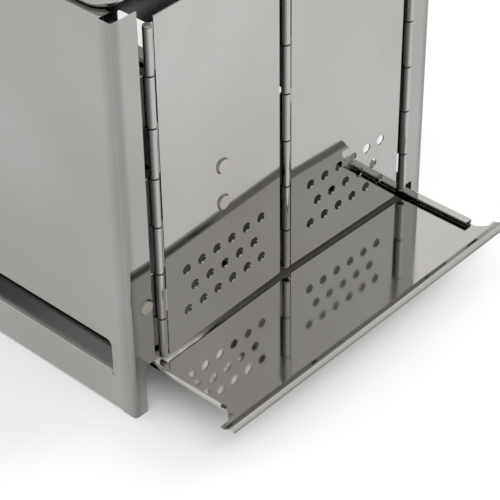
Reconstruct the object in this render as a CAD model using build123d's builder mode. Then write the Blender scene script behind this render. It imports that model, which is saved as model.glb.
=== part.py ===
from build123d import *
from math import cos, radians, sin
import os

os.makedirs("parts", exist_ok=True)

# A folding wood grill of sheet steel. Two end panels stand at -X and +X. The front wall at -Y and
# the back wall at +Y are each two half walls on upright hinges, so the box folds flat with both
# walls going inwards. Millimetres, +Z up. The origin lies on the ground, midway between the front
# edge of the tray and the hinges of the back wall.

# Box
hinge_span = 132.0  # from hinge axis to hinge axis along one half wall
open_angle = 1.4  # degrees that each half wall stands turned inwards when the box is open
box_depth = 364.0  # from the front hinge axes to the back hinge axes
end_height = 320.0
end_reach = 28.0  # from a corner hinge axis out to the outer face of the end panel
wall_bottom = 40.0
wall_height = 272.0
sheet = 1.0
bend = 3.0  # outer radius of the folded corners

# Hinges
knuckle_radius = 3.2
pin_clearance = 0.05
knuckle_count = 7
first_split = 37.4  # from the foot of a wall up to the first split between knuckles
knuckle_pitch = 39.14
split_gap = 0.4
end_notch = 4.0  # how far the knuckles stop short of the foot and the top of a wall
edge_setback = 6.2  # from a hinge axis to the straight edge of a leaf
flat_start = 9.0  # from a hinge axis to where a half wall becomes flat
leaf_offset = 0.4  # from the plane of the hinge axes to the outer face of a half wall
pin_head_radius = 2.9
pin_head_height = 0.8
fit_gap = 0.3

# Air holes
hole_diameter = 8.0
hole_pitch = 15.6
hole_row_pitch = 17.6
hole_rows = 3
holes_per_long_row = 6
first_hole_row = 27.3  # above the foot of the wall

# End panel
window_inset = 20.0  # from the front and back faces to the window
window_top = 61.0
window_corner = 5.0
shelf_top = 35.0
shelf_reach = 30.0
shelf_bend = 4.0
leg_width = 12.0
leg_step = 41.5  # height where the narrow leg widens into the hinge leaf
foot_flange = 10.0
top_flange = 12.0

# Ash tray
tray_play = 6.96  # between each side of the tray and the legs
tray_sheet = 0.8
tray_gap = 0.3  # between the shelves and the tray
tray_back_gap = 20.0  # from the back hinge axes to the tray's back edge
hem_height = 4.2
hem_width = 7.5
hem_bend = 2.0
hem_front = 62.0  # from the front hinge axes forward to the front ends of the hems
tray_flat_front = 77.0  # from the front hinge axes forward to the bend of the rim
rim_front = 86.0
rim_rise = 3.4  # from the floor to the crest
rim_roll = 3.4
rim_bend = 2.8
rim_overhang = 13.0  # how far the rim stands out past each side of the tray
flare_radius = 20.0  # of the hollow between the side of the tray and its rim
back_lip = 3.0

# Fire grate
grate_side_inset = 13.0  # from the sides of the tray
grate_inset = 14.0  # from the front and back hinge axes
grate_sheet = 1.0
grate_lift = 2.4  # from the tray floor to the underside of the plate
slot_length = 24.0
slot_width = 6.0
slot_columns = 9
slot_rows = 9

# Cooking grate
rod_diameter = 4.0
frame_rod_diameter = 6.0
cooking_side_inset = 6.0  # from the outside of the end panels
cooking_end_inset = 14.0  # from the front and back hinge axes
cooking_rods_across = 14
frame_corner = 14.0

# Rivets and the pieces that they hold
rivet_shank = 5.0
rivet_hole_clearance = 0.05
rivet_head_diameter = 12.4
rivet_head_height = 1.5
rivet_head_slope = 35.0  # of the side of the head, in degrees
rivet_tail_diameter = 8.0
rivet_tail_height = 1.4
wall_rivet_low = 98.2  # above the foot of the wall
wall_rivet_high = 128.4
corner_rivet_height = 92.3
corner_rivet_reach = 12.3  # from the corner hinge axis out to the rivet
bracket_sheet = 1.0
hook_width = 18.0
hook_reach = 14.0
hook_lip = 7.0
stop_width = 15.0
stop_reach = 12.0
stop_gap = 0.8  # between the stop and the top of the tray's hem

# Worked out from the sizes above
wall_top = wall_bottom + wall_height
knuckle_bore = knuckle_radius - sheet
pin_radius = knuckle_bore - pin_clearance
half_width = hinge_span * cos(radians(open_angle))
tray_side = half_width + end_reach - leg_width - tray_play
tray_width = 2 * tray_side
grate_width = tray_width - 2 * grate_side_inset
cooking_width = 2 * (half_width + end_reach - cooking_side_inset)
cooking_depth = box_depth - 2 * cooking_end_inset
middle_inset = hinge_span * sin(radians(open_angle))
box_middle = (rim_front - knuckle_radius) / 2
front_axis = box_middle - box_depth / 2
back_axis = box_middle + box_depth / 2
flange_depth = knuckle_radius - sheet / 2  # from the hinge axes in to the middle of the flange
floor_bottom = shelf_top + tray_gap
floor_top = floor_bottom + tray_sheet
hem_top = floor_top + hem_height
knuckle_low = wall_bottom + end_notch
knuckle_high = wall_top - end_notch


def knuckle_foot(index):
    if index == 0:
        return knuckle_low
    return wall_bottom + first_split + (index - 1) * knuckle_pitch + split_gap / 2


def knuckle_head(index):
    if index == knuckle_count - 1:
        return knuckle_high
    return wall_bottom + first_split + index * knuckle_pitch - split_gap / 2


def knuckle_rings(plane, across, along, first):
    # every second rolled knuckle round one hinge axis, starting with the one numbered first
    with BuildPart() as rings:
        for index in range(first, knuckle_count, 2):
            foot = knuckle_foot(index)
            with BuildSketch(plane.offset(foot)):
                with Locations((across, along)):
                    Circle(knuckle_radius)
                    Circle(knuckle_bore, mode=Mode.SUBTRACT)
            extrude(amount=knuckle_head(index) - foot)
    return rings.part


def knuckle_webs(plane, axis, side, first):
    # the sheet that runs from the flat of a half wall out to each of its rolled knuckles
    back = knuckle_radius - 0.1
    with BuildPart() as webs:
        for index in range(first, knuckle_count, 2):
            foot = knuckle_foot(index)
            with BuildSketch(plane.offset(foot)):
                with BuildLine():
                    Polyline(
                        (axis + side * flat_start, leaf_offset),
                        (axis + side * flat_start, leaf_offset + sheet),
                        (axis + side * 1.2, back),
                        (axis + side * 1.2, back - sheet * 0.9),
                        close=True,
                    )
                make_face()
            extrude(amount=knuckle_head(index) - foot)
    return webs.part


def wall_face(plane):
    # the upright plane of a half wall, with local Y up and its normal pointing out of the box
    return Plane(origin=plane.origin, x_dir=plane.x_dir, z_dir=-plane.y_dir)


def half_wall(plane, riveted):
    # a half wall from the axis at the plane's origin to the axis one span along its X
    rolled = [
        knuckle_webs(plane, 0, 1, 0),
        knuckle_webs(plane, hinge_span, -1, 1),
        knuckle_rings(plane, 0, 0, 0),
        knuckle_rings(plane, hinge_span, 0, 1),
    ]
    with BuildPart() as wall:
        with BuildSketch(plane.offset(wall_bottom)):
            with Locations((hinge_span / 2, leaf_offset + sheet / 2)):
                Rectangle(hinge_span - 2 * edge_setback, sheet)
        extrude(amount=wall_height)
        add(rolled)
        with BuildSketch(wall_face(plane)):
            for row in range(hole_rows):
                count = holes_per_long_row - row % 2
                height = wall_bottom + first_hole_row + row * hole_row_pitch
                with Locations((hinge_span / 2, height)):
                    with GridLocations(hole_pitch, 1, count, 1):
                        Circle(hole_diameter / 2)
            if riveted:
                for height in (wall_rivet_low, wall_rivet_high):
                    with Locations((hinge_span / 2, wall_bottom + height)):
                        Circle(rivet_shank / 2 + rivet_hole_clearance)
        extrude(amount=-knuckle_radius, mode=Mode.SUBTRACT)
    return wall


def end_panel(plane):
    # an end panel whose corner hinge axes lie on the plane's Y axis and which stands towards -X
    outer = -end_reach
    face = outer + sheet / 2
    flange_line = box_depth / 2 - flange_depth
    corner = bend - sheet / 2
    upright = Plane(origin=plane.origin, x_dir=plane.x_dir, z_dir=-plane.y_dir)
    side = Plane(origin=plane.origin, x_dir=plane.y_dir, z_dir=plane.x_dir)
    straight = flange_line - sheet / 2 - bend - 8
    front_rings = knuckle_rings(plane, 0, -box_depth / 2, 1)
    back_rings = knuckle_rings(plane, 0, box_depth / 2, 0)
    with BuildPart() as panel:
        with BuildSketch(plane):
            with BuildLine():
                FilletPolyline(
                    (-edge_setback, -flange_line),
                    (face, -flange_line),
                    (face, flange_line),
                    (-edge_setback, flange_line),
                    radius=corner,
                )
            trace(line_width=sheet)
        extrude(amount=end_height)
        # the plate gives way to a formed plate with rounded folds at its foot and top
        with BuildSketch(side.offset(outer - 1)):
            Rectangle(2 * straight, 3 * end_height)
        extrude(amount=sheet + 2, mode=Mode.SUBTRACT)
        with BuildSketch(upright):
            with BuildLine():
                FilletPolyline(
                    (outer + foot_flange, sheet / 2),
                    (face, sheet / 2),
                    (face, end_height - sheet / 2),
                    (outer + top_flange, end_height - sheet / 2),
                    radius=corner,
                )
            trace(line_width=sheet)
        extrude(amount=straight, both=True)
        # below the step each flange narrows to a leg, so that the tray passes between the legs
        with BuildSketch(upright):
            with BuildLine():
                leg_edge = outer + leg_width
                FilletPolyline(
                    (leg_edge, -1),
                    (leg_edge, leg_step),
                    (0, leg_step),
                    radius=2,
                )
                Polyline((0, leg_step), (0, -1), (leg_edge, -1))
            make_face()
        extrude(amount=box_depth, both=True, mode=Mode.SUBTRACT)
        # the window, and the shelf folded in from its lower edge
        window_half = flange_line + sheet / 2 - window_inset
        shelf_fold = shelf_top - shelf_bend - 1
        with BuildSketch(side.offset(outer - 1)):
            with BuildLine():
                FilletPolyline(
                    (-window_half, shelf_fold),
                    (-window_half, window_top),
                    (window_half, window_top),
                    (window_half, shelf_fold),
                    radius=window_corner,
                )
                Line((window_half, shelf_fold), (-window_half, shelf_fold))
            make_face()
        extrude(amount=sheet + 2, mode=Mode.SUBTRACT)
        with BuildSketch(upright):
            with BuildLine():
                FilletPolyline(
                    (face, shelf_fold),
                    (face, shelf_top - sheet / 2),
                    (outer + shelf_reach, shelf_top - sheet / 2),
                    radius=shelf_bend - sheet / 2,
                )
            trace(line_width=sheet)
        extrude(amount=window_half - 1, both=True)
        # the leaf stops short of the hinge axes, apart from the strips that roll into knuckles
        for end, first in ((-1, 1), (1, 0)):
            for index in range(first, knuckle_count, 2):
                foot = knuckle_foot(index)
                with BuildSketch(plane.offset(foot)):
                    with Locations((-edge_setback / 2 - 0.5, end * flange_line)):
                        Rectangle(edge_setback + 1, sheet)
                extrude(amount=knuckle_head(index) - foot)
            add(front_rings if end < 0 else back_rings)
            with BuildSketch(plane.offset(knuckle_low - 1)):
                with Locations((0, end * box_depth / 2)):
                    Circle(knuckle_bore)
            extrude(amount=knuckle_high - knuckle_low + 2, mode=Mode.SUBTRACT)
        # the rivet hole at the front corner
        with BuildSketch(upright.offset(box_depth / 2)):
            with Locations((-corner_rivet_reach, corner_rivet_height)):
                Circle(rivet_shank / 2 + rivet_hole_clearance)
        extrude(amount=-2 * flange_depth, mode=Mode.SUBTRACT)
    return panel


def hinge_pin(plane, across, along):
    # a plain pin with a peened head at each end
    with BuildPart() as pin:
        with BuildSketch(plane.offset(knuckle_low - fit_gap)):
            with Locations((across, along)):
                Circle(pin_radius)
        extrude(amount=knuckle_high - knuckle_low + 2 * fit_gap)
        for height in (knuckle_low - fit_gap - pin_head_height, knuckle_high + fit_gap):
            with BuildSketch(plane.offset(height)):
                with Locations((across, along)):
                    Circle(pin_head_radius)
            extrude(amount=pin_head_height)
    return pin


def rivets(face, across, heights, start, grip):
    # flat headed rivets whose heads sit on the sheet that lies start behind the face plane
    with BuildPart() as bodies:
        for height in heights:
            with BuildSketch(face.offset(-start)):
                with Locations((across, height)):
                    Circle(rivet_head_diameter / 2)
            extrude(amount=rivet_head_height, taper=rivet_head_slope)
            with BuildSketch(face.offset(-start)):
                with Locations((across, height)):
                    Circle(rivet_shank / 2)
            extrude(amount=-grip)
            with BuildSketch(face.offset(-start - grip)):
                with Locations((across, height)):
                    Circle(rivet_tail_diameter / 2)
            extrude(amount=-rivet_tail_height)
    return bodies


def wall_hook(plane):
    # a strip riveted inside a half wall, bent in at its foot and up again into a hook
    inner = leaf_offset + sheet
    foot = wall_bottom + wall_rivet_low - 12
    top = wall_bottom + wall_rivet_high + 10
    section = Plane(
        origin=plane.origin + plane.x_dir * (hinge_span / 2 - hook_width / 2),
        x_dir=plane.y_dir,
        z_dir=plane.x_dir,
    )
    line = inner + bracket_sheet / 2
    with BuildPart() as hook:
        with BuildSketch(section):
            with BuildLine():
                FilletPolyline(
                    (line, top),
                    (line, foot),
                    (line + hook_reach, foot),
                    (line + hook_reach, foot + hook_lip),
                    radius=1.5,
                )
            trace(line_width=bracket_sheet)
        extrude(amount=hook_width)
        with BuildSketch(wall_face(plane)):
            for height in (wall_rivet_low, wall_rivet_high):
                with Locations((hinge_span / 2, wall_bottom + height)):
                    Circle(rivet_shank / 2 + rivet_hole_clearance)
        extrude(amount=-inner - bracket_sheet, mode=Mode.SUBTRACT)
    return hook


def tray_stop(plane):
    # an angle riveted inside the flange at the front corner, its foot just over the tray's hem
    line = -box_depth / 2 + flange_depth + sheet / 2 + bracket_sheet / 2
    foot = hem_top + stop_gap + bracket_sheet / 2
    centre = -corner_rivet_reach - 1.5
    section = Plane(
        origin=plane.origin + plane.x_dir * (centre - stop_width / 2),
        x_dir=plane.y_dir,
        z_dir=plane.x_dir,
    )
    upright = Plane(origin=plane.origin, x_dir=plane.x_dir, z_dir=-plane.y_dir)
    with BuildPart() as stop:
        with BuildSketch(section):
            with BuildLine():
                FilletPolyline(
                    (line, corner_rivet_height + 9),
                    (line, foot),
                    (line + stop_reach, foot),
                    radius=1.5,
                )
            trace(line_width=bracket_sheet)
        extrude(amount=stop_width)
        with BuildSketch(upright.offset(box_depth / 2)):
            with Locations((-corner_rivet_reach, corner_rivet_height)):
                Circle(rivet_shank / 2 + rivet_hole_clearance)
        extrude(amount=-2 * flange_depth, mode=Mode.SUBTRACT)
    return stop


# The box has the same pieces at the front and, turned half round, at the back
left_end = Plane(origin=(-half_width, box_middle, 0))
right_end = Plane(origin=(half_width, box_middle, 0), x_dir=(-1, 0, 0))
turned_in = (cos(radians(open_angle)), sin(radians(open_angle)), 0)
turned_out = (cos(radians(open_angle)), -sin(radians(open_angle)), 0)
turned_in_back = (-cos(radians(open_angle)), -sin(radians(open_angle)), 0)
turned_out_back = (-cos(radians(open_angle)), sin(radians(open_angle)), 0)
middle_front = (0, front_axis + middle_inset, 0)
middle_back = (0, back_axis - middle_inset, 0)
front_left = Plane(origin=(-half_width, front_axis, 0), x_dir=turned_in)
front_right = Plane(origin=middle_front, x_dir=turned_out)
back_right = Plane(origin=(half_width, back_axis, 0), x_dir=turned_in_back)
back_left = Plane(origin=middle_back, x_dir=turned_out_back)

end_panel_left = end_panel(left_end)
end_panel_right = end_panel(right_end)
front_wall_left = half_wall(front_left, True)
front_wall_right = half_wall(front_right, False)
back_wall_left = half_wall(back_left, False)
back_wall_right = half_wall(back_right, True)

pin_front_left = hinge_pin(left_end, 0, -box_depth / 2)
pin_front_middle = hinge_pin(front_left, hinge_span, 0)
pin_front_right = hinge_pin(right_end, 0, box_depth / 2)
pin_back_left = hinge_pin(left_end, 0, box_depth / 2)
pin_back_middle = hinge_pin(back_right, hinge_span, 0)
pin_back_right = hinge_pin(right_end, 0, -box_depth / 2)

wall_hook_front = wall_hook(front_left)
wall_hook_back = wall_hook(back_right)
tray_stop_front = tray_stop(left_end)
tray_stop_back = tray_stop(right_end)

middle = hinge_span / 2
wall_heights = (wall_bottom + wall_rivet_low, wall_bottom + wall_rivet_high)
grip = sheet + bracket_sheet
wall_rivets_front = rivets(wall_face(front_left), middle, wall_heights, leaf_offset, grip)
wall_rivets_back = rivets(wall_face(back_right), middle, wall_heights, leaf_offset, grip)

corner = -corner_rivet_reach
corner_heights = (corner_rivet_height,)
flange_face = flange_depth - sheet / 2
front_corner = Plane(origin=(-half_width, front_axis, 0), x_dir=(1, 0, 0), z_dir=(0, -1, 0))
back_corner = Plane(origin=(half_width, back_axis, 0), x_dir=(-1, 0, 0), z_dir=(0, 1, 0))
corner_rivet_front = rivets(front_corner, corner, corner_heights, flange_face, grip)
corner_rivet_back = rivets(back_corner, corner, corner_heights, flange_face, grip)

# The ash tray: a flat floor, a folded hem along each side, a low lip at the back and, at the
# front, a rolled rim that is wider than the tray
floor_side = tray_side - hem_bend
tray_back = back_axis - tray_back_gap
flat_front = front_axis - tray_flat_front
rim_edge = front_axis - rim_front + tray_sheet / 2
flare_start = front_axis - hem_front - 4
with BuildPart() as ash_tray:
    with BuildSketch(Plane.XY.offset(floor_bottom)):
        with BuildLine():
            Polyline(
                (-tray_side - rim_overhang, flat_front),
                (tray_side + rim_overhang, flat_front),
            )
            RadiusArc(
                (tray_side + rim_overhang, flat_front),
                (floor_side, flare_start),
                flare_radius,
            )
            Polyline(
                (floor_side, flare_start),
                (floor_side, tray_back),
                (-floor_side, tray_back),
                (-floor_side, flare_start),
            )
            RadiusArc(
                (-floor_side, flare_start),
                (-tray_side - rim_overhang, flat_front),
                flare_radius,
            )
        make_face()
    extrude(amount=tray_sheet)
    # side hems, folded up and over towards the middle
    middle_of_floor = floor_bottom + tray_sheet / 2
    for side in (-1, 1):
        with BuildSketch(Plane.XZ.offset(-tray_back)):
            with BuildLine():
                edge = side * (tray_side - tray_sheet / 2)
                FilletPolyline(
                    (side * (tray_side - hem_width), middle_of_floor),
                    (edge, middle_of_floor),
                    (edge, hem_top - tray_sheet / 2),
                    (side * (tray_side - hem_width), hem_top - tray_sheet / 2),
                    radius=hem_bend - tray_sheet / 2,
                )
            trace(line_width=tray_sheet)
        extrude(amount=tray_back - front_axis + hem_front)
    # back lip
    with BuildSketch(Plane.XY.offset(floor_bottom)):
        with Locations((0, tray_back - tray_sheet / 2)):
            Rectangle(tray_width - 2 * hem_width - 2, tray_sheet)
    extrude(amount=back_lip)
    # rolled front rim
    with BuildSketch(Plane.YZ.offset(-tray_side - rim_overhang)):
        with BuildLine():
            FilletPolyline(
                (flat_front + 3, middle_of_floor),
                (flat_front, middle_of_floor),
                (rim_edge + rim_roll, middle_of_floor + rim_rise),
                (rim_edge, middle_of_floor),
                radius=rim_bend,
            )
        trace(line_width=tray_sheet)
    extrude(amount=tray_width + 2 * rim_overhang)
    # rounded ends of the rim
    with BuildSketch(Plane.XY.offset(floor_bottom - 5)):
        for side in (-1, 1):
            reach = side * (tray_side + rim_overhang)
            with BuildLine():
                Polyline(
                    (reach, front_axis - rim_front - 2),
                    (reach, front_axis - rim_front + 5),
                )
                RadiusArc(
                    (reach, front_axis - rim_front + 5),
                    (reach - side * 5, front_axis - rim_front - 2),
                    side * 10,
                )
                Line(
                    (reach - side * 5, front_axis - rim_front - 2),
                    (reach, front_axis - rim_front - 2),
                )
            make_face()
    extrude(amount=16, mode=Mode.SUBTRACT)

# The fire grate: a slotted plate with turned down edges that stands on the tray's floor
grate_depth = box_depth - 2 * grate_inset
plate_low = floor_top + grate_lift
slot_pitch_across = (grate_width - 30) / slot_columns
slot_pitch_along = (grate_depth - 24) / slot_rows
grate_middle = Plane(origin=(0, box_middle, 0))
with BuildPart() as fire_grate:
    with BuildSketch(grate_middle.offset(plate_low)):
        RectangleRounded(grate_width, grate_depth, 6)
        with GridLocations(slot_pitch_across, slot_pitch_along, slot_columns, slot_rows):
            SlotOverall(slot_length, slot_width, rotation=90, mode=Mode.SUBTRACT)
    extrude(amount=grate_sheet)
    with BuildSketch(grate_middle.offset(floor_top + tray_gap)):
        for side in (-1, 1):
            with Locations((0, side * (grate_depth - grate_sheet) / 2)):
                Rectangle(grate_width - 24, grate_sheet)
            with Locations((side * (grate_width - grate_sheet) / 2, 0)):
                Rectangle(grate_sheet, grate_depth - 24)
    extrude(amount=grate_lift)

# The cooking grate: rods whose ends meet the inside of a round cornered frame, which lies on the
# end panels
rod_height = end_height + fit_gap + frame_rod_diameter / 2
frame_width = cooking_width - frame_rod_diameter
frame_depth = cooking_depth - frame_rod_diameter
with BuildSketch(grate_middle.offset(rod_height)) as frame_outline:
    RectangleRounded(frame_width, frame_depth, frame_corner)
frame_path = frame_outline.sketch.faces()[0].outer_wire()
with BuildPart() as cooking_frame:
    with BuildSketch(Plane(origin=frame_path @ 0, z_dir=frame_path % 0)):
        Circle(frame_rod_diameter / 2)
    sweep(path=frame_path)
rod_start = (0, box_middle - frame_depth / 2, rod_height)
with BuildPart() as cooking_rods:
    with BuildSketch(Plane(origin=rod_start, x_dir=(1, 0, 0), z_dir=(0, 1, 0))):
        with GridLocations(frame_width / (cooking_rods_across + 1), 1, cooking_rods_across, 1):
            Circle(rod_diameter / 2)
    extrude(amount=frame_depth)
    add(cooking_frame.part, mode=Mode.SUBTRACT)

end_panel_left.part.label = "end_panel_left"
export_step(end_panel_left.part, "parts/end_panel_left.step")
end_panel_right.part.label = "end_panel_right"
export_step(end_panel_right.part, "parts/end_panel_right.step")
front_wall_left.part.label = "front_wall_left"
export_step(front_wall_left.part, "parts/front_wall_left.step")
front_wall_right.part.label = "front_wall_right"
export_step(front_wall_right.part, "parts/front_wall_right.step")
back_wall_left.part.label = "back_wall_left"
export_step(back_wall_left.part, "parts/back_wall_left.step")
back_wall_right.part.label = "back_wall_right"
export_step(back_wall_right.part, "parts/back_wall_right.step")
pin_front_left.part.label = "pin_front_left"
export_step(pin_front_left.part, "parts/pin_front_left.step")
pin_front_middle.part.label = "pin_front_middle"
export_step(pin_front_middle.part, "parts/pin_front_middle.step")
pin_front_right.part.label = "pin_front_right"
export_step(pin_front_right.part, "parts/pin_front_right.step")
pin_back_left.part.label = "pin_back_left"
export_step(pin_back_left.part, "parts/pin_back_left.step")
pin_back_middle.part.label = "pin_back_middle"
export_step(pin_back_middle.part, "parts/pin_back_middle.step")
pin_back_right.part.label = "pin_back_right"
export_step(pin_back_right.part, "parts/pin_back_right.step")
wall_rivets_front.part.label = "wall_rivets_front"
export_step(wall_rivets_front.part, "parts/wall_rivets_front.step")
wall_rivets_back.part.label = "wall_rivets_back"
export_step(wall_rivets_back.part, "parts/wall_rivets_back.step")
corner_rivet_front.part.label = "corner_rivet_front"
export_step(corner_rivet_front.part, "parts/corner_rivet_front.step")
corner_rivet_back.part.label = "corner_rivet_back"
export_step(corner_rivet_back.part, "parts/corner_rivet_back.step")
wall_hook_front.part.label = "wall_hook_front"
export_step(wall_hook_front.part, "parts/wall_hook_front.step")
wall_hook_back.part.label = "wall_hook_back"
export_step(wall_hook_back.part, "parts/wall_hook_back.step")
tray_stop_front.part.label = "tray_stop_front"
export_step(tray_stop_front.part, "parts/tray_stop_front.step")
tray_stop_back.part.label = "tray_stop_back"
export_step(tray_stop_back.part, "parts/tray_stop_back.step")
ash_tray.part.label = "ash_tray"
export_step(ash_tray.part, "parts/ash_tray.step")
fire_grate.part.label = "fire_grate"
export_step(fire_grate.part, "parts/fire_grate.step")
cooking_frame.part.label = "cooking_frame"
export_step(cooking_frame.part, "parts/cooking_frame.step")
cooking_rods.part.label = "cooking_rods"
export_step(cooking_rods.part, "parts/cooking_rods.step")
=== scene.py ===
import math

import bmesh
import bpy
from mathutils import Matrix, Vector


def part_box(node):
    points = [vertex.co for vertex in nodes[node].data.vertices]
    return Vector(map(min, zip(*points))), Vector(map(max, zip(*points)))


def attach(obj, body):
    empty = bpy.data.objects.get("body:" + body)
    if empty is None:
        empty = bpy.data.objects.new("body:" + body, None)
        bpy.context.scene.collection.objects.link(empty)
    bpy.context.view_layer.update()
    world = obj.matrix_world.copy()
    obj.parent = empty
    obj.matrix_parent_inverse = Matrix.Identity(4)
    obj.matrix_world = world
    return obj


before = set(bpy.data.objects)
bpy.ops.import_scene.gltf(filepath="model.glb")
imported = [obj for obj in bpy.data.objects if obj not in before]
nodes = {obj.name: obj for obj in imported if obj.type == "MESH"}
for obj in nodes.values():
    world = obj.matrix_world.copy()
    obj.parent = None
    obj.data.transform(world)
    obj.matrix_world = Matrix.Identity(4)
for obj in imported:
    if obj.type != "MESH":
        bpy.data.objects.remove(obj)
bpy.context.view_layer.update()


def deselectAll():
    if bpy.context.object and bpy.context.object.mode != "OBJECT":
        bpy.ops.object.mode_set(mode="OBJECT")
    bpy.ops.object.select_all(action="DESELECT")


deselectAll()

# Camera, at the angle of the photograph
camera = {
    "place": (-0.8183, -0.8589, 0.8983),
    "azimuth": -47.221,  # degrees, from straight in front
    "elevation": 37.612,
    "roll": -0.812,
    "lens": 135.08,  # millimetres, as the sensor is
    "sensor": 36,
    "nearest": 0.01,
}


def aimCamera(setup):
    deselectAll()
    bpy.ops.object.camera_add(location=setup["place"])
    eye = bpy.context.object
    eye.name = "photoCamera"
    turn, rise, roll = (math.radians(setup[key]) for key in ("azimuth", "elevation", "roll"))
    level = Vector((math.sin(turn), -math.cos(turn), 0)) * math.cos(rise)
    back = level + Vector((0, 0, math.sin(rise)))
    right = (-back).cross(Vector((0, 0, 1))).normalized()
    down = (-back).cross(right)
    turnedRight = right * math.cos(roll) - down * math.sin(roll)
    turnedDown = right * math.sin(roll) + down * math.cos(roll)
    eye.rotation_euler = Matrix((turnedRight, -turnedDown, back)).transposed().to_euler()
    eye.data.sensor_width = setup["sensor"]
    eye.data.lens = setup["lens"]
    eye.data.clip_start = setup["nearest"]
    bpy.context.scene.camera = eye


aimCamera(camera)
print("camera set")


# Node helpers
def startMaterial(name):
    material = bpy.data.materials.new(name)
    material.use_nodes = True
    tree = material.node_tree
    tree.nodes.clear()
    output = tree.nodes.new("ShaderNodeOutputMaterial")
    shader = tree.nodes.new("ShaderNodeBsdfPrincipled")
    tree.links.new(shader.outputs["BSDF"], output.inputs["Surface"])
    return material, tree, shader


def startGroup(name, inputs, outputs):
    group = bpy.data.node_groups.new(name, "ShaderNodeTree")
    for side, sockets in (("INPUT", inputs), ("OUTPUT", outputs)):
        for label, kind in sockets.items():
            group.interface.new_socket(label, in_out=side, socket_type="NodeSocket" + kind)
    return group, group.nodes.new("NodeGroupOutput")


def addNode(tree, kind, values=None, **settings):
    node = tree.nodes.new(kind)
    for key, value in settings.items():
        setattr(node, key, value)
    for key, value in (values or {}).items():
        node.inputs[key].default_value = value
    return node


# A value goes to a socket as a link where it comes from a node, and as a number otherwise
def feed(tree, socket, value):
    if isinstance(value, bpy.types.NodeSocket):
        tree.links.new(value, socket)
    else:
        socket.default_value = value


def sums(tree, operation, *values):
    node = addNode(tree, "ShaderNodeMath", operation=operation)
    for socket, value in zip(node.inputs, values):
        feed(tree, socket, value)
    return node.outputs[0]


def blendColours(tree, mode, amount, first, second):
    mix = addNode(tree, "ShaderNodeMix", data_type="RGBA", blend_type=mode)
    for index, value in ((0, amount), (6, first), (7, second)):
        feed(tree, mix.inputs[index], value)
    return mix.outputs[2]


# From ends[0] to ends[1] the result goes from out[0] to out[1], and it stays there beyond them
def fade(tree, value, ends, out=(0.0, 1.0)):
    node = tree.nodes.new("ShaderNodeMapRange")
    tree.links.new(value, node.inputs["Value"])
    for key, number in zip(("From Min", "From Max", "To Min", "To Max"), (*ends, *out)):
        node.inputs[key].default_value = number
    return node.outputs["Result"]


def partsOf(tree, vector):
    node = tree.nodes.new("ShaderNodeSeparateXYZ")
    tree.links.new(vector, node.inputs[0])
    return node.outputs["X"], node.outputs["Y"], node.outputs["Z"]


def layOver(tree, under, mask, amount, over):
    return blendColours(tree, "MIX", sums(tree, "MULTIPLY", mask, amount), under, (*over, 1))


# Bright rolled sheet: faint grain along one direction, slow waves and finger smudges
sheetGrain = {
    "streaks": {"Scale": 1.0, "Detail": 3.0, "Roughness": 0.6},
    "waves": {"Scale": 7.0, "Detail": 1.0, "Roughness": 0.4},
    "smudges": {"Scale": 26.0, "Detail": 5.0, "Roughness": 0.65},
    "smudgeEnds": (0.5, 0.72),
}


def makeGrainGroup(look):
    masks = {"Streaks": "Float", "Waves": "Float", "Smudges": "Float"}
    group, outside = startGroup("sheetGrain", {"Stretch": "Vector"}, masks)
    inside = group.nodes.new("NodeGroupInput")
    place = group.nodes.new("ShaderNodeTexCoord")
    mapping = group.nodes.new("ShaderNodeMapping")
    group.links.new(place.outputs["Object"], mapping.inputs["Vector"])
    group.links.new(inside.outputs["Stretch"], mapping.inputs["Scale"])
    streaks = addNode(group, "ShaderNodeTexNoise", look["streaks"])
    group.links.new(mapping.outputs["Vector"], streaks.inputs["Vector"])
    group.links.new(streaks.outputs["Fac"], outside.inputs["Streaks"])
    waves = addNode(group, "ShaderNodeTexNoise", look["waves"])
    group.links.new(place.outputs["Object"], waves.inputs["Vector"])
    group.links.new(waves.outputs["Fac"], outside.inputs["Waves"])
    smudges = addNode(group, "ShaderNodeTexNoise", look["smudges"])
    group.links.new(place.outputs["Object"], smudges.inputs["Vector"])
    spots = fade(group, smudges.outputs["Fac"], look["smudgeEnds"])
    group.links.new(spots, outside.inputs["Smudges"])
    return group


# Worn, slightly brighter edges, from how far a rounded normal leans from the real one
cutEdge = {
    "samples": 4,
    "leanEnds": (0.99, 0.85),  # cosines
}


def makeEdgeGroup(look):
    group, outside = startGroup("cutEdges", {"Reach": "Float"}, {"Edge": "Float"})
    inside = group.nodes.new("NodeGroupInput")
    rounded = addNode(group, "ShaderNodeBevel", samples=look["samples"])
    group.links.new(inside.outputs["Reach"], rounded.inputs["Radius"])
    flat = group.nodes.new("ShaderNodeNewGeometry")
    dot = addNode(group, "ShaderNodeVectorMath", operation="DOT_PRODUCT")
    group.links.new(rounded.outputs["Normal"], dot.inputs[0])
    group.links.new(flat.outputs["Normal"], dot.inputs[1])
    edge = fade(group, dot.outputs["Value"], look["leanEnds"])
    group.links.new(edge, outside.inputs["Edge"])
    return group


def axisOf(pin):
    low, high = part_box(pin)
    return (low + high) / 2


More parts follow.
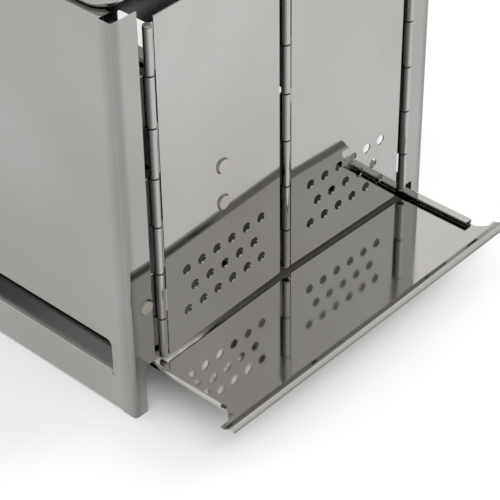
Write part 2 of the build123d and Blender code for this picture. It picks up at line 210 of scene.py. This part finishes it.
# Places on the box, from the frame, and where the fades of each painted shade mask begin and end
box = {
    "hingeX": axisOf("pin_front_right").x,
    "frontY": axisOf("pin_front_left").y,
    "backY": axisOf("pin_back_left").y,
    "wallFoot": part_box("front_wall_left")[0].z,
    "outerX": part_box("end_panel_right")[1].x,
    "firstSplit": 0.0374,  # from the foot of the wall to the lowest gap between two knuckles
    "knucklePitch": 0.03914,  # from one gap to the next
    "splitEnds": (0.0009, 0.0004),  # up and down from a gap
    "barrelEnds": (0.0042, 0.0036),  # from a hinge axis
    "barrelShare": 0.55,  # of the distance along Y that counts there
    "barrelSideEnds": (0.0014, 0.0028),  # across from a hinge axis
    "inwardEnds": (-0.3, -0.7),  # lean of a normal towards the fire
    "inwardInset": 0.007,  # sheets across X count from here, inside the hinges
    "shelfLean": 0.6,  # least upward lean of a normal
    "shelfBand": (-0.008, 0.020),  # from the foot of the wall
    "withinDepth": 0.006,  # behind the front hinges
    "slopeEnds": (0.93, 0.8),  # a normal's share along Y, on the side of a rivet head
    "flangeEnds": (0.002, 0.004),  # outside the hinge axis
    "flangeLeanEnds": (0.4, 0.7),  # a normal's share along Y
    "bendAlongEnds": (0.015, 0.004),  # inside the line of the hinges
    "bendAcrossEnds": (0.008, 0.004),  # inside the outer side
}
middleY = (box["frontY"] + box["backY"]) / 2
halfDepth = (box["backY"] - box["frontY"]) / 2


def shifted(start, steps, way=1):
    return tuple(start + way * step for step in steps)


# Painted shade masks on the box: faces that look into the fire, splits between knuckles, barrel
# sides, flanges and bends, the tray under the fire and the sides of rivet heads
def makeBoxShadeGroup(where):
    masks = ("Inside", "ShadowWithin", "Slope", "Split", "BarrelShade", "FlangeShade", "BendShade")
    group, outside = startGroup("boxPaintedShade", {}, {mask: "Float" for mask in masks})
    place = group.nodes.new("ShaderNodeTexCoord")
    across, depth, height = partsOf(group, place.outputs["Object"])
    leanX, leanY, leanZ = partsOf(group, place.outputs["Normal"])
    along = sums(group, "SUBTRACT", depth, middleY)
    halfAcross = sums(group, "ABSOLUTE", across)
    halfAlong = sums(group, "ABSOLUTE", along)
    facing = sums(group, "ABSOLUTE", leanY)

    # painted shade on faces towards the fire: against the side of the box that the sheet stands
    # on, and on the shelves
    inAlong = sums(group, "MULTIPLY", leanY, sums(group, "SIGN", along))
    inAcross = sums(group, "MULTIPLY", leanX, sums(group, "SIGN", across))
    atEnd = sums(group, "GREATER_THAN", halfAcross, where["hingeX"] - where["inwardInset"])
    inAcross = sums(group, "MULTIPLY", inAcross, atEnd)
    inward = fade(group, sums(group, "MINIMUM", inAlong, inAcross), where["inwardEnds"])
    lowest, highest = shifted(where["wallFoot"], where["shelfBand"])
    shelf = sums(group, "GREATER_THAN", leanZ, where["shelfLean"])
    shelf = sums(group, "MULTIPLY", shelf, sums(group, "LESS_THAN", height, highest))
    shelf = sums(group, "MULTIPLY", shelf, sums(group, "GREATER_THAN", height, lowest))
    group.links.new(sums(group, "MAXIMUM", inward, shelf), outside.inputs["Inside"])

    # painted shadow on the part of the tray that stands under the fire, and painted shade on the
    # sloping sides of the rivet heads
    shadowWithin = fade(group, depth, shifted(where["frontY"], (0.0, where["withinDepth"])))
    group.links.new(shadowWithin, outside.inputs["ShadowWithin"])
    group.links.new(fade(group, facing, where["slopeEnds"]), outside.inputs["Slope"])

    # painted shade in the splits: a narrow ring at each knuckle end, close to a hinge axis
    fromSide = sums(group, "ABSOLUTE", sums(group, "SUBTRACT", halfAcross, where["hingeX"]))
    fromAxis = sums(group, "MINIMUM", halfAcross, fromSide)
    fromLine = sums(group, "ABSOLUTE", sums(group, "SUBTRACT", halfAlong, halfDepth))
    fromLine = sums(group, "MULTIPLY", fromLine, where["barrelShare"])
    barrel = fade(group, sums(group, "MAXIMUM", fromAxis, fromLine), where["barrelEnds"])
    pitch = where["knucklePitch"]
    firstMiddle = where["wallFoot"] + where["firstSplit"] - pitch / 2
    turns = sums(group, "MODULO", sums(group, "SUBTRACT", height, firstMiddle), pitch)
    fromSplit = sums(group, "ABSOLUTE", sums(group, "SUBTRACT", turns, pitch / 2))
    ring = fade(group, fromSplit, where["splitEnds"])
    group.links.new(sums(group, "MULTIPLY", barrel, ring), outside.inputs["Split"])
    # painted shade on the sides of the hinge barrels
    side = fade(group, fromAxis, where["barrelSideEnds"])
    group.links.new(sums(group, "MULTIPLY", barrel, side), outside.inputs["BarrelShade"])

    # painted shade on the flanges and legs of the end panels, and on the bends beside them
    flange = fade(group, halfAcross, shifted(where["hingeX"], where["flangeEnds"]))
    upright = fade(group, facing, where["flangeLeanEnds"])
    group.links.new(sums(group, "MULTIPLY", flange, upright), outside.inputs["FlangeShade"])
    bend = fade(group, halfAlong, shifted(halfDepth, where["bendAlongEnds"], -1))
    outer = fade(group, halfAcross, shifted(where["outerX"], where["bendAcrossEnds"], -1))
    group.links.new(sums(group, "MULTIPLY", bend, outer), outside.inputs["BendShade"])
    return group


# Painted light and shade on the tray's rim: duller on the rise from the floor, a painted
# highlight at the crest, painted shade at the edge
rim = {
    "depth": 0.010,  # from the front edge of the tray to its floor
    "paintedLightAndShadeTones": ((0.0, 1.0), (0.12, 0.42), (0.50, 0.40), (0.64, 0.95), (0.86, 0.80), (1.0, 0.35)),
    "warmth": (1, 0.985, 0.955),
}


def makeRimLightAndShadeGroup(where):
    group, outside = startGroup("rimPaintedLightAndShade", {}, {"PaintedLightAndShade": "Color"})
    place = group.nodes.new("ShaderNodeTexCoord")
    across, depth, height = partsOf(group, place.outputs["Object"])
    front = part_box("ash_tray")[0].y
    ramp = group.nodes.new("ShaderNodeValToRGB")
    stops = ramp.color_ramp.elements
    while len(stops) < len(where["paintedLightAndShadeTones"]):
        stops.new(0.5)
    for stop, (position, tone) in zip(stops, where["paintedLightAndShadeTones"]):
        stop.position = position
        stop.color = (*(tone * share for share in where["warmth"]), 1)
    outwards = fade(group, depth, (front + where["depth"], front))
    group.links.new(outwards, ramp.inputs["Fac"])
    group.links.new(ramp.outputs["Color"], outside.inputs["PaintedLightAndShade"])
    return group


grainGroup = makeGrainGroup(sheetGrain)
edgeGroup = makeEdgeGroup(cutEdge)
boxShadeGroup = makeBoxShadeGroup(box)
rimLightAndShadeGroup = makeRimLightAndShadeGroup(rim)


# One steel: waves between two colours, grain, smudges and edges, then the painted light and shade
# of the rim and the painted shade and shadow on the box
def steel(settings):
    material, tree, shader = startMaterial(settings["name"])
    smudge, edge = settings["smudge"], settings["edge"]
    stretch, reach = {"Stretch": settings["stretch"]}, {"Reach": edge["reach"]}
    grain = addNode(tree, "ShaderNodeGroup", stretch, node_tree=grainGroup)
    edges = addNode(tree, "ShaderNodeGroup", reach, node_tree=edgeGroup)
    streaks, waves, smudges = (grain.outputs[name] for name in ("Streaks", "Waves", "Smudges"))

    between = fade(tree, waves, settings["waveEnds"])
    dark, light = (*settings["dark"], 1), (*settings["light"], 1)
    colour = blendColours(tree, "MIX", between, dark, light)
    amount = fade(tree, streaks, settings["grainEnds"], (0.0, settings["grain"]))
    colour = blendColours(tree, "MULTIPLY", amount, colour, (*settings["grainColour"], 1))
    colour = layOver(tree, colour, smudges, smudge["amount"], smudge["colour"])
    colour = layOver(tree, colour, edges.outputs["Edge"], edge["amount"], edge["colour"])
    rough = fade(tree, streaks, settings["roughEnds"], settings["rough"])
    rough = sums(tree, "MULTIPLY_ADD", smudges, smudge["rough"], rough)

    # painted highlight and shade on the tray's rim
    if settings["paintedRimLight"]:
        paintedLightAndShadeTones = addNode(tree, "ShaderNodeGroup", node_tree=rimLightAndShadeGroup)
        colour = blendColours(tree, "MULTIPLY", 1.0, colour, paintedLightAndShadeTones.outputs["PaintedLightAndShade"])
    # painted shade and shadow at set spots on the box
    if settings["paintedShadeLayers"]:
        shadeMasks = addNode(tree, "ShaderNodeGroup", node_tree=boxShadeGroup)
        for mask, tone in settings["paintedLightAndShadeTones"].items():
            grey = (tone, tone, tone, 1)
            colour = blendColours(tree, "MULTIPLY", shadeMasks.outputs[mask], colour, grey)
        for layer in settings["paintedShadeLayers"]:
            mask = shadeMasks.outputs[layer["mask"]]
            colour = layOver(tree, colour, mask, layer["amount"], layer["colour"])
            rough = sums(tree, "MULTIPLY_ADD", mask, layer["rough"], rough)

    tree.links.new(colour, shader.inputs["Base Color"])
    tree.links.new(rough, shader.inputs["Roughness"])
    shader.inputs["Metallic"].default_value = 1.0
    height = sums(tree, "MULTIPLY", streaks, settings["grainHeight"])
    height = sums(tree, "MULTIPLY_ADD", waves, settings["waveHeight"], height)
    bump = addNode(tree, "ShaderNodeBump", {"Strength": 1.0, "Distance": settings["bumpDepth"]})
    tree.links.new(height, bump.inputs["Height"])
    tree.links.new(bump.outputs["Normal"], shader.inputs["Normal"])
    return material


brightSteel = {
    "stretch": (900, 900, 14),
    "dark": (0.402, 0.394, 0.380),
    "light": (0.440, 0.436, 0.426),
    "waveEnds": (0.35, 0.65),
    "grain": 0.12,
    "grainEnds": (0.3, 0.7),
    "grainColour": (0.8, 0.8, 0.8),
    "smudge": {"amount": 0.3, "colour": (0.39, 0.372, 0.348), "rough": 0.02},
    "edge": {"reach": 0.0005, "amount": 0.35, "colour": (0.60, 0.59, 0.57)},
    "rough": (0.02, 0.035),
    "roughEnds": (0.25, 0.75),
    "grainHeight": 0.0002,
    "waveHeight": 0.02,
    "bumpDepth": 0.001,
    "paintedRimLight": False,
    "paintedLightAndShadeTones": {},
    "paintedShadeLayers": (),
}
panelSteel = dict(
    brightSteel,
    name="panelSteel",
    # painted shade: flanges, legs, bends and barrel sides darkened
    paintedLightAndShadeTones={"FlangeShade": 0.86, "BendShade": 0.74, "BarrelShade": 0.25},
    paintedShadeLayers=(
        # painted shade on the faces inside the box
        {"mask": "Inside", "amount": 0.9, "colour": (0.14, 0.137, 0.132), "rough": 0.25},
        # painted shade in the splits between knuckles
        {"mask": "Split", "amount": 1.0, "colour": (0.02, 0.02, 0.02), "rough": 0.0},
    ),
)
traySteel = dict(
    brightSteel,
    name="traySteel",
    stretch=(14, 900, 900),
    dark=(0.495, 0.490, 0.480),
    light=(0.535, 0.530, 0.520),
    rough=(0.05, 0.075),
    smudge={"amount": 0.3, "colour": (0.47, 0.455, 0.435), "rough": 0.05},
    # painted highlight and shade on the rim
    paintedRimLight=True,
    # painted shadow on the part of the tray inside the box
    paintedShadeLayers=({"mask": "ShadowWithin", "amount": 0.9, "colour": (0.16, 0.155, 0.148), "rough": 0.198},),
)
fireGrateShadedSteel = dict(
    brightSteel,
    name="fireGrateShadedSteel",
    stretch=(14, 700, 700),
    # dark colours: painted shade inside the box
    dark=(0.14, 0.135, 0.13),
    light=(0.19, 0.185, 0.18),
    rough=(0.25, 0.4),
    smudge={"amount": 0.4, "colour": (0.09, 0.085, 0.08), "rough": 0.02},
)
rivetSteel = dict(
    brightSteel,
    name="rivetSteel",
    stretch=(500, 500, 500),
    dark=(0.46, 0.445, 0.41),
    light=(0.54, 0.52, 0.48),
    rough=(0.25, 0.36),
    edge={"reach": 0.0005, "amount": 0.2, "colour": (0.60, 0.59, 0.57)},
    waveHeight=0.0,
    # painted shade on the sloping sides of the rivet heads
    paintedShadeLayers=({"mask": "Slope", "amount": 0.85, "colour": (0.13, 0.125, 0.115), "rough": 0.0},),
)
pinSteel = dict(
    brightSteel,
    name="pinSteel",
    stretch=(600, 600, 20),
    dark=(0.30, 0.295, 0.285),
    light=(0.38, 0.37, 0.36),
    rough=(0.2, 0.3),
    waveHeight=0.0,
)
wireSteel = dict(
    brightSteel, name="wireSteel", stretch=(700, 14, 700), rough=(0.12, 0.2), waveHeight=0.0
)

materials = {
    "sheet": steel(panelSteel),
    "tray": steel(traySteel),
    "fire": steel(fireGrateShadedSteel),
    "rivet": steel(rivetSteel),
    "pin": steel(pinSteel),
    "wire": steel(wireSteel),
}


def finishOf(name):
    if name.startswith("pin"):
        return "pin"
    if "rivet" in name:
        return "rivet"
    if name.startswith("cooking"):
        return "wire"
    return {"ash_tray": "tray", "fire_grate": "fire"}.get(name, "sheet")


for name, piece in nodes.items():
    piece.data.materials.clear()
    piece.data.materials.append(materials[finishOf(name)])
print("steel laid on", len(nodes), "nodes")


# Cooking grate: beads of weld where the rods meet the frame
welds = {
    "rods": 14,
    "beadSize": (0.0031, 0.0022, 0.0024),
    "segments": 20,
    "rings": 12,
    "crownFrom": 0.3,  # the crown of the bead is drawn in and leans to one side
    "crownSize": (0.82, 0.9, 0.8),
    "lean": 0.35,
}


def weldBeads(setup, material):
    deselectAll()
    bpy.ops.mesh.primitive_uv_sphere_add(
        segments=setup["segments"], ring_count=setup["rings"], radius=1.0
    )
    bead = bpy.context.object
    bpy.ops.object.mode_set(mode="EDIT")
    mesh = bmesh.from_edit_mesh(bead.data)
    for point in mesh.verts:
        point.select = point.co.z > setup["crownFrom"]
    mesh.select_flush(True)
    bmesh.update_edit_mesh(bead.data)
    bpy.ops.transform.resize(value=setup["crownSize"], center_override=(0, 0, 0))
    bpy.ops.transform.translate(value=(0, -setup["lean"], 0))
    bpy.ops.mesh.select_all(action="SELECT")
    bpy.ops.transform.resize(value=setup["beadSize"], center_override=(0, 0, 0))
    bpy.ops.object.mode_set(mode="OBJECT")
    bpy.ops.object.shade_smooth()

    # the rods are evenly spread and end at the inner side of the frame's wire, and its mesh is
    # some hundredths of a millimetre short, so the reach is rounded
    low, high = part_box("cooking_frame")
    middle = (low + high) / 2
    wire = (high.z - low.z) / 2
    pitch = (high.x - low.x - 2 * wire) / (setup["rods"] + 1)
    reach = round((high.y - low.y) / 2 - 2 * wire, 4)
    beads = []
    for index in range(setup["rods"]):
        across = (index - (setup["rods"] - 1) / 2) * pitch
        for side in (-1, 1):
            copy = bead.copy()
            copy.data = bead.data.copy()
            bpy.context.collection.objects.link(copy)
            copy.data.transform(Matrix.Rotation(math.pi if side > 0 else 0, 4, "Z"))
            spot = middle + Vector((across, side * reach, 0))
            copy.data.transform(Matrix.Translation(spot))
            beads.append(copy)
    deselectAll()
    bpy.data.objects.remove(bead)
    for copy in beads:
        copy.select_set(True)
    bpy.context.view_layer.objects.active = beads[0]
    bpy.ops.object.join()
    joined = bpy.context.object
    joined.name = "weldBeads"
    joined.data.materials.clear()
    joined.data.materials.append(material)
    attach(joined, "grate")


weldBeads(welds, materials["wire"])
print("weld beads on the cooking grate")


# Studio: a pale floor, a white surround and soft lamps
studio = {
    "floorSize": 12.0,
    "floorColour": (0.9, 0.9, 0.9),
    "floorRough": 0.9,
    "surround": 1.0,  # what the camera and the steel see
    "fill": 0.84,  # what lights the floor and dull faces
    "aim": (0, 0, 0.1),
    "lamps": [
        {"name": "keyLamp", "place": (-1.2, -2.4, 2.6), "size": 2.2, "power": 60},
        {"name": "sideLamp", "place": (2.6, -1.2, 1.8), "size": 1.8, "power": 30},
    ],
}


def layFloor(setup):
    deselectAll()
    bpy.ops.mesh.primitive_plane_add(size=setup["floorSize"])
    floor = bpy.context.object
    floor.name = "floor"
    material, tree, shader = startMaterial("floorPaint")
    shader.inputs["Base Color"].default_value = (*setup["floorColour"], 1)
    shader.inputs["Roughness"].default_value = setup["floorRough"]
    floor.data.materials.append(material)


def wrapSurround(setup):
    world = bpy.data.worlds.new("surround")
    bpy.context.scene.world = world
    world.use_nodes = True
    tree = world.node_tree
    tree.nodes.clear()
    output = tree.nodes.new("ShaderNodeOutputWorld")
    plain, seen = (
        addNode(tree, "ShaderNodeBackground", {"Color": (1, 1, 1, 1), "Strength": setup[level]})
        for level in ("fill", "surround")
    )
    path = tree.nodes.new("ShaderNodeLightPath")
    either = sums(tree, "MAXIMUM", path.outputs["Is Camera Ray"], path.outputs["Is Glossy Ray"])
    either = sums(tree, "MAXIMUM", either, path.outputs["Is Transmission Ray"])
    mix = tree.nodes.new("ShaderNodeMixShader")
    tree.links.new(either, mix.inputs["Fac"])
    tree.links.new(plain.outputs[0], mix.inputs[1])
    tree.links.new(seen.outputs[0], mix.inputs[2])
    tree.links.new(mix.outputs[0], output.inputs["Surface"])


def hangLamps(setup):
    for lamp in setup["lamps"]:
        deselectAll()
        bpy.ops.object.light_add(type="AREA", location=lamp["place"])
        light = bpy.context.object
        light.name = lamp["name"]
        light.data.size = lamp["size"]
        light.data.energy = lamp["power"]
        light.visible_glossy = False
        aim = Vector(setup["aim"]) - Vector(lamp["place"])
        light.rotation_euler = aim.to_track_quat("-Z", "Y").to_euler()


layFloor(studio)
wrapSurround(studio)
hangLamps(studio)
bpy.context.scene.view_settings.view_transform = "Standard"
print("studio set")
